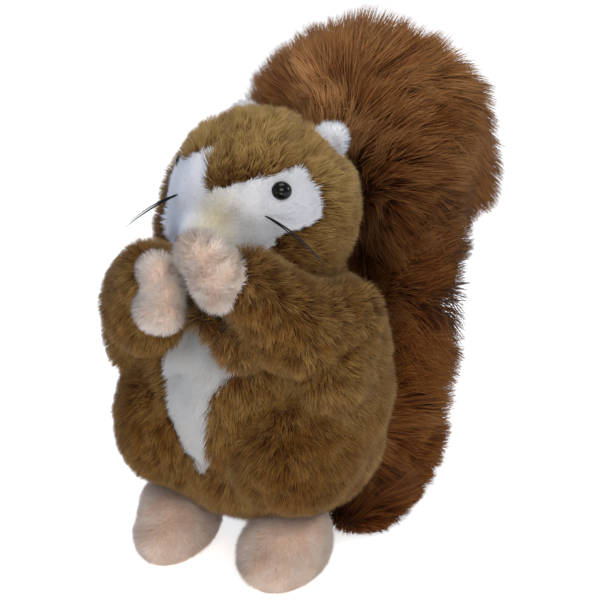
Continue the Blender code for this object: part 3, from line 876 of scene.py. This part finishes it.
def brown_coat():
    keep = np.ones(len(co))
    keep[(white_v > 0.6) | (pink_v > 0) | (tail_v > 0)] = 0.0
    p, n, uv = sow(keep, int(196000 * THIN))
    w, part = shares(p)
    m, b = mask(p), bib(p)
    ok, short = groom(p, n, part)
    edge = waves(p, 3.0, 5) * 0.35
    edge = edge + RNG.normal(size=len(p)) * 0.35
    ok &= ~((part == P["head"]) & (m + edge > 0.0)) & ~((part == P["trunk"]) & (b + edge > 0.0))
    ok &= (part != P["tail"]) & (part != P["paw"]) & (part != P["foot"]) & (part != P["ear"])
    p, n, uv, part, m, short = (x[ok] for x in (p, n, uv, part, m, short))
    q, h = facing(p)
    head, arm, leg = part == P["head"], part == P["arm"], part == P["leg"]
    lie = flow(p, n, part) + waves(p, 14, 21, 3) * 0.40 + waves(p, 5, 22, 3) * 0.45
    # the ruff beside the mask is longer and stands out; the crown's seam is a shallow groove
    ruff = head * step(np.abs(q[:, 0]), 52, 68) * (1 - step(h[:, 1], 2, 20)) * (1 - step(q[:, 1], 44, 70))
    groove = head * seam(q)
    far = q[:, 0] < 0
    near_mask = head * (1 - step(-m, 0.0, 5.0)) * (np.abs(q[:, 0]) < 46) * step(q[:, 0], -6, 4)
    lift = pick(LIFT, part) + 6 * ruff + 16 * ruff * far + waves(p, 9, 33) * 9 + waves(p, 4, 34) * 7 + RNG.normal(size=len(p)) * 5
    lift = np.clip(lift, 25, 88)
    length = lengths(p, part, lift)
    to = clumps(p, 0.11)
    to2 = clumps(p, 0.025)
    length = length * np.clip(1 + 0.09 * RNG.normal(size=len(p))[to] + 0.11 * RNG.normal(size=len(p)) - 0.05, 0.6, 1.3)
    mid, tip, d1 = grow(p, n, lie, lift, length, 0.18, 0.20)
    mid, tip = gather(p, mid, tip, to2, RNG.uniform(0.0, 0.22, len(p)), 0.6)
    mid, tip = gather(p, mid, tip, to, RNG.uniform(0.0, 0.40, len(p)), 0.5)
    ears = np.array([on_head((s * EAR[0], EAR[1], EAR[2])) for s in (1, -1)])
    by_ear = head * (1 - step(np.linalg.norm(p[:, None] - ears[None], axis=2).min(axis=1), 9.0, 12.5))
    target = 0.45 * RNG.normal(size=len(p)) - 0.25 + 0.35 * waves(p, 8, 35)
    brow = head * far * step(-q[:, 0], 25, 40) * step(q[:, 1], 20, 34) * (1 - step(q[:, 1], 60, 68))
    target = target + 0.6 - 0.5 * leg + 0.6 * ruff - 4.6 * groove - 0.9 * near_mask - 2.0 * by_ear - 1.8 * brow
    target = target - 2.2 * head * (1 - step(-m, 0.5, 3.5)) * step(-q[:, 0], 0, 3) * (1 - step(-q[:, 0], 13, 17)) * step(q[:, 1], 20, 26)
    target = target - 1.8 * head * np.exp(-((np.linalg.norm(p - (4.0, 2.0, 186.0), axis=1) / 13.0) ** 2))
    target = target + 2.8 * head * np.exp(-((np.linalg.norm(p - (-20.8, -4.2, 180.0), axis=1) / 8.0) ** 2))
    mid, tip = reach(p, n, mid, tip, part, target)
    tip = p + (tip - p) * short[:, None]
    v, nn = shape(p, n, mid, tip, pick(WIDE, part), soft=0.80)
    crown = head * step(h[:, 2], -6, 26)
    tone = np.full(len(p), 0.14) + 0.04 * head + 0.68 * crown + 0.12 * ruff
    tone = tone + 0.06 * arm + 0.10 * (part == P["trunk"]) - 0.04 * leg
    edge_far = head * (1 - step(-m, 0.5, 3.5)) * step(-q[:, 0], 0, 3) * (1 - step(-q[:, 0], 13, 17)) * step(q[:, 1], 20, 26)
    brow_line = head * (1 - step(-m, 2.0, 12.0)) * (np.abs(q[:, 0]) < 46) * (q[:, 1] > 10) * step(q[:, 0], -6, 4)
    # painted shade: the pile is darker in the crown's seam groove and in the hollow before the left ear
    tone = tone - 0.12 * near_mask * (q[:, 1] > 10) - 0.34 * brow_line - 0.34 * groove + 0.10 * edge_far
    tone = tone + waves(p, 16, 41) * 0.07 + waves(p, 5, 42) * (0.07 + 0.06 * arm) + 0.12 * RNG.normal(size=len(p))[to]
    # nothing brown hangs over the white
    over = (head & (mask(tip) > 1.3)) | (((part == P["trunk"]) | (part == P["leg"])) & (bib(tip) > 1.8))
    # painted shade: the pile is dimmed along the crease of the crown's right seam
    crease_shade = head * np.exp(-((off_line(q, SEAM_RIGHT) * 0.66 / 2.2) ** 2))
    dim = (1.0 - 0.45 * crease_shade) * (1 + 0.10 * edge_far) * (1 + 0.07 * waves(p, 4, 43) + 0.12 * arm * waves(p, 6, 44))
    v, nn, uv, tone, dim = (x[~over] for x in (v, nn, uv, tone, dim))
    coats("pile_brown", 3, v, nn, uv, BROWN, "brown_pile", tone=np.clip(tone, 0, 1), rnd=RNG.random(len(v)),
          dim=dim)


def white_coat():
    keep = (white_v > -1.2).astype(float)
    keep[(pink_v > 0) | (tail_v > 0)] = 0.0
    keep = keep * np.where(part_v == P["ear"], 1.2, 1.0)
    p, n, uv = sow(keep, int(60000 * THIN))
    w, part = shares(p)
    m, b = mask(p), bib(p)
    ok, short = groom(p, n, part)
    edge = waves(p, 3.0, 5) * 0.35
    edge = edge + RNG.normal(size=len(p)) * 0.35
    ok &= ((part == P["head"]) & (m + edge > -0.2)) | ((part == P["trunk"]) & (b + edge > -0.2)) | (part == P["ear"])
    p, n, uv, part, m, short = (x[ok] for x in (p, n, uv, part, m, short))
    head, ear = part == P["head"], part == P["ear"]
    lie = flow(p, n, part) + waves(p, 9, 51, 3) * 0.30
    q, h = facing(p)
    by_far = head * (1 - step(np.linalg.norm(p - EYES[1], axis=1), 6.0, 11.0))
    length = np.where(head, 3.0, np.where(ear, 3.9, 3.8)) + 0.1 * by_far
    lift = np.where(head, 52.0, np.where(ear, 74.0, 46.0)) + 8 * by_far
    to = clumps(p, 0.12)
    length = length * np.clip(1 + 0.08 * RNG.normal(size=len(p))[to] + 0.10 * RNG.normal(size=len(p)), 0.6, 1.35) * short
    lift = np.clip(lift + waves(p, 6, 53) * 7 + RNG.normal(size=len(p)) * 6, 15, 88)
    mid, tip, d1 = grow(p, n, lie, lift, length, 0.2, 0.14)
    mid, tip = gather(p, mid, tip, to, RNG.uniform(0.0, 0.35, len(p)), 0.6)
    width = np.where(head, 0.15, np.where(ear, 0.16, 0.17))
    v, nn = shape(p, n, mid, tip, width, soft=0.86)
    stain = head * np.exp(-(((q[:, 0] - 8) / 14) ** 2) - ((q[:, 1] - 4) / 19) ** 2)
    tone = np.clip(0.03 + 0.85 * stain + 0.05 * waves(p, 7, 55), 0, 1)
    tone = np.clip(tone + 0.26 * (part == P["trunk"]), 0, 1)
    # painted shade: the bib is dimmed, most of all at its top under the paws, and the mask is dimmed towards both sides
    # of the face
    dim = np.where(part == P["trunk"], 0.63 - 0.10 * step(p[:, 2], 92, 106), np.where(ear, 1.0, 0.97 - 0.12 * step(-q[:, 0], 15, 35) - 0.14 * step(q[:, 0], 25, 50)))
    coats("pile_white", 1, v, nn, uv, WHITE, "white_pile", tone=tone, rnd=RNG.random(len(p)), dim=dim)


def pink_coat():
    p, n, uv = sow(pink_v, int(58000 * THIN))
    w, part = shares(p)
    ok, short = groom(p, n, part)
    ok &= (part == P["paw"]) | (part == P["foot"])
    p, n, uv, part = (x[ok] for x in (p, n, uv, part))
    lie = flow(p, n, part) + waves(p, 8, 61, 3) * 0.4
    lift = np.clip(pick(LIFT, part) + waves(p, 7, 63) * 8 + RNG.normal(size=len(p)) * 7, 25, 88)
    to = clumps(p, 0.12)
    size = np.clip(0.97 + 0.08 * RNG.normal(size=len(p))[to] + 0.11 * RNG.normal(size=len(p)), 0.6, 1.35)
    length = lengths(p, part, lift) * size
    mid, tip, d1 = grow(p, n, lie, lift, length, 0.15, 0.16)
    mid, tip = gather(p, mid, tip, to, RNG.uniform(0.0, 0.4, len(p)), 0.55)
    mid, tip = reach(p, n, mid, tip, part, 0.35 * RNG.normal(size=len(p)) + 0.15 - 0.8 * (1 - step(p[:, 2], 0, 5)))
    v, nn = shape(p, n, mid, tip, pick(WIDE, part), soft=0.84)
    tone = np.clip(np.where(part == P["paw"], 0.65, 0.15) + 0.18 * waves(p, 9, 65) + 0.08 * RNG.normal(size=len(p))[to], 0, 1)
    # painted shade: the paw on the -X side is dimmed more than the other, and both paws more than the feet
    coats("pile_pink", 1, v, nn, uv, PINK, "pink_pile", tone=tone, rnd=RNG.random(len(p)),
          dim=np.where(part == P["foot"], 0.98, np.where(p[:, 0] > 0, 0.92, 0.82)))


# places where the brush's outline swells or falls in: place, reach and height (mm)
LUMPS = [((5.9, 98.3, 210.5), 12, 2.2), ((21.0, 116.0, 199.5), 12, -3.6), ((52.0, 119.0, 164.0), 14, 1.0), ((49.0, 126.0, 127.0), 10, 4.0),
         ((48.0, 103.0, 112.0), 9, 2.5), ((45.0, 97.5, 38.0), 14, 3.2), ((46.0, 60.0, 8.0), 12, 2.0), ((-26.0, 83.0, 201.0), 10, -1.6),
         ((16.0, 104.0, 208.0), 9, -2.6), ((25.0, 113.5, 199.5), 9, -3.0), ((-15.9, 82.7, 204.0), 10, -3.0),
         ((54.8, 119.7, 149.4), 14, 1.8), ((50.4, 123.3, 127.7), 9, 2.0), ((49.9, 97.3, 91.4), 10, 1.0), ((47.6, 101.5, 69.4), 10, 1.8),
         ((-43.5, 69.0, 174.6), 9, 3.5)]
# painted shade: the fur behind the head, in the head's shade, is painted darker along this line
SHADE = np.array([(21.0, 44.0, 172.0), (23.0, 47.5, 150.0), (23.0, 47.5, 132.0), (22.5, 59.0, 109.0), (22.0, 60.0, 90.0)])
STREAK = np.array([(-14.3, 60.5, 194.9), (1.7, 49.5, 186.4), (12.0, 46.5, 180.5), (21.0, 44.5, 174.0)])


def tail_coat():
    p, n, uv = sow(tail_v, int(142000 * THIN))
    w, part = shares(p)
    ok, _ = groom(p, n, part)
    ok &= part == P["tail"]
    p, n, uv, part = (x[ok] for x in (p, n, uv, part))
    lie = flow(p, n, part) + waves(p, 30, 71, 3) * 0.35 + waves(p, 10, 72, 3) * 0.30
    lift = np.clip(LIFT["tail"] + waves(p, 22, 73) * 9 + waves(p, 8, 74) * 6 + RNG.normal(size=len(p)) * 6, 35, 88)
    to, to2 = clumps(p, 0.07), clumps(p, 0.009)
    length = np.clip(depth(p, part) / np.sin(np.radians(np.clip(lift, 45, 90))), 3.0, 22.0)
    mid, tip, d1 = grow(p, n, lie, lift, length, 0.26, 0.12)
    mid, tip = gather(p, mid, tip, to2, RNG.uniform(0.1, 0.45, len(p)), 0.5)
    mid, tip = gather(p, mid, tip, to, RNG.uniform(0.0, 0.55, len(p)), 0.4)
    target = 0.9 * RNG.normal(size=len(p)) + 0.5 + 1.0 * waves(p, 16, 77) + 0.8 * RNG.normal(size=len(p))[to]
    target = np.clip(target, -4, 2.8)
    for at, wide, high in LUMPS:
        target = target + high * np.exp(-((np.linalg.norm(tip - at, axis=1) / wide) ** 2))
    mid, tip = reach(p, n, mid, tip, part, target, 1.28)
    trim = np.minimum(1.0, 24.0 / np.linalg.norm(tip - p, axis=1))[:, None]
    mid, tip = p + (mid - p) * trim, p + (tip - p) * trim
    streak = np.exp(-((off_line(tip, STREAK) / 8.0) ** 2))
    tone = 0.08 + 0.30 * step(p[:, 2], 80, 190) + 0.90 * streak
    tone = tone + waves(p, 20, 75) * 0.08 + waves(p, 7, 76) * 0.06 + 0.07 * RNG.normal(size=len(p))[to]
    tone, rnd = np.clip(tone, 0, 1), RNG.random(len(p))
    # the tail is darker over its middle height; painted shade darkens it along SHADE, mirrored to both sides, and the
    # streak is brighter
    both = np.stack([np.abs(tip[:, 0] - 3.0) + 3.0, tip[:, 1], tip[:, 2]], 1)
    dim = 1.0 - 0.12 * step(tip[:, 2], 60, 90) * (1 - step(tip[:, 2], 165, 190))
    dim = dim * (1 - 0.40 * np.exp(-((off_line(both, SHADE) / 12.5) ** 2))) + 0.30 * streak
    # two hairs in five are bent locks that reach the outline; the rest are straighter and shorter, and fill them
    long = np.arange(len(p)) % 5 < 2
    fine = ~long
    wide = pick(WIDE, part)
    v, nn = shape(p[long], n[long], mid[long], tip[long], wide[long], soft=0.80, long=True)
    coats("pile_tail", 2, v, nn, uv[long], TAIL_M, "tail_pile", long=True, tone=tone[long], rnd=rnd[long], dim=dim[long])
    tip = p + (tip - p) * (1 - 0.40 * RNG.random(len(p)) ** 1.5)[:, None]
    v, nn = shape(p[fine], n[fine], mid[fine], tip[fine], wide[fine] * 0.85, soft=0.80)
    coats("pile_tail_under", 2, v, nn, uv[fine], TAIL_M, "tail_pile", tone=tone[fine], rnd=rnd[fine], dim=dim[fine])


brown_coat()
white_coat()
pink_coat()
tail_coat()


# ---- eyes, nose and whiskers ----------------------------------------------------------------------------
def bm_object(name, bm, mat, node):
    me = bpy.data.meshes.new(name)
    bm.to_mesh(me)
    bm.free()
    me.shade_smooth()
    me.materials.append(mat)
    o = bpy.data.objects.new(name, me)
    bpy.context.scene.collection.objects.link(o)
    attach(o, "root")
    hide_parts(node)
    return o


def eye_material():
    m, t, b = nodes_of("eye_gloss", 0.06, 0.15)
    n = noise(t, 240.0)
    t.links.new(ramp(t, n, [(0.3, (8, 6, 6)), (0.7, (14, 9, 8))]), b.inputs["Base Color"])
    b.inputs["Coat Weight"].default_value = 0.10
    b.inputs["Coat Roughness"].default_value = 0.03
    return m


def eyes():
    mat = eye_material()
    for s, name in ((1, "eye_left"), (-1, "eye_right")):
        bm = bmesh.new()
        sunk = 1.0 - (0.9 if s > 0 else 1.3) / np.linalg.norm(EYE[s])
        m = Matrix.Translation(to_world(on_head(np.array(EYE[s]) * sunk))) @ Matrix(HEAD_ROT).to_4x4()
        m = m @ Matrix.Diagonal((1.0, 1.0, 0.9, 1.0))
        bmesh.ops.create_uvsphere(bm, u_segments=48, v_segments=32, radius=EYE_R * MM, matrix=m)
        bm_object(name + "_bead", bm, mat, name)


def nose():
    m, t, b = nodes_of("nose_stitches", 0.5, 0.4, 0.2)
    n = noise(t, 500.0)
    t.links.new(ramp(t, n, [(0.3, (62, 36, 28)), (0.7, (92, 56, 44))]), b.inputs["Base Color"])
    bm = bmesh.new()
    mat = Matrix.Translation(to_world(on_head((0, -48.0, -2.5)))) @ Matrix(HEAD_ROT).to_4x4()
    bmesh.ops.create_uvsphere(bm, u_segments=72, v_segments=28, radius=1.0)
    for v in bm.verts:
        x, y, z = v.co
        k = 1 + 0.035 * math.cos(x * 26)
        v.co = Vector((x * 3.5 * (1 - 0.28 * (z < 0) * -z), y * 2.3 * k, z * 2.3 * k)) * MM
        v.co = mat @ v.co
    bm_object("nose_stitching", bm, m, "nose")


WHISKER_ROOT = {1: (23.4, -28.6, 7.8), -1: (-18.5, -33.0, 8.0)}
WHISKER_REACH = {1: (24.8, -0.4, -14.1), -1: (-19.0, -3.0, -15.4)}
WHISKER_BOW = {1: (0.0, -1.0, 2.2), -1: (0.0, -0.5, 0.9)}


def whiskers():
    m, t, b = nodes_of("bristle", 0.5, 0.2)
    along = attribute(t, "t")
    t.links.new(ramp(t, along, [(0.0, (10, 9, 10)), (0.6, (16, 15, 16)), (1.0, (34, 32, 32))]), b.inputs["Base Color"])
    for s, name in ((1, "whisker_left"), (-1, "whisker_right")):
        bm = bmesh.new()
        layer = bm.verts.layers.float.new("t")
        root = on_head(WHISKER_ROOT[s])
        out = unit(root - HEAD_AT)
        reach = np.array(WHISKER_REACH[s])
        bow = np.array(WHISKER_BOW[s])
        for j in range(3):
            r = np.random.default_rng(90 + j + 7 * (s > 0))
            start = root - out * 3.0 + r.normal(size=3) * 0.15
            spread_ = r.normal(size=3) * 0.32
            end_ = root + reach * (1.0 if j == 0 else r.uniform(0.86, 0.99)) + spread_
            rings = []
            steps = 22
            for k in range(steps + 1):
                u = k / steps
                q = start + (end_ - start) * u + bow * (4 * u * (1 - u)) + spread_ * 0.5 * math.sin(3.1 * u)
                rad = 0.33 * (1 - 0.62 * u**1.5)
                ax = unit(end_ - start)
                a = unit(np.cross(ax, (0.0, 0.0, 1.0)))
                c = np.cross(ax, a)
                row = []
                for i in range(7):
                    th = i * 2 * math.pi / 7
                    v = bm.verts.new(to_world(q + (a * math.cos(th) + c * math.sin(th)) * rad))
                    v[layer] = u
                    row.append(v)
                rings.append(row)
            for r0, r1 in zip(rings, rings[1:]):
                for i in range(7):
                    bm.faces.new((r0[i], r0[(i + 1) % 7], r1[(i + 1) % 7], r1[i]))
            bm.faces.new(rings[0][::-1])
            bm.faces.new(rings[-1])
        bmesh.ops.recalc_face_normals(bm, faces=bm.faces)
        bm_object(name + "_bristles", bm, m, name)


eyes()
nose()
whiskers()
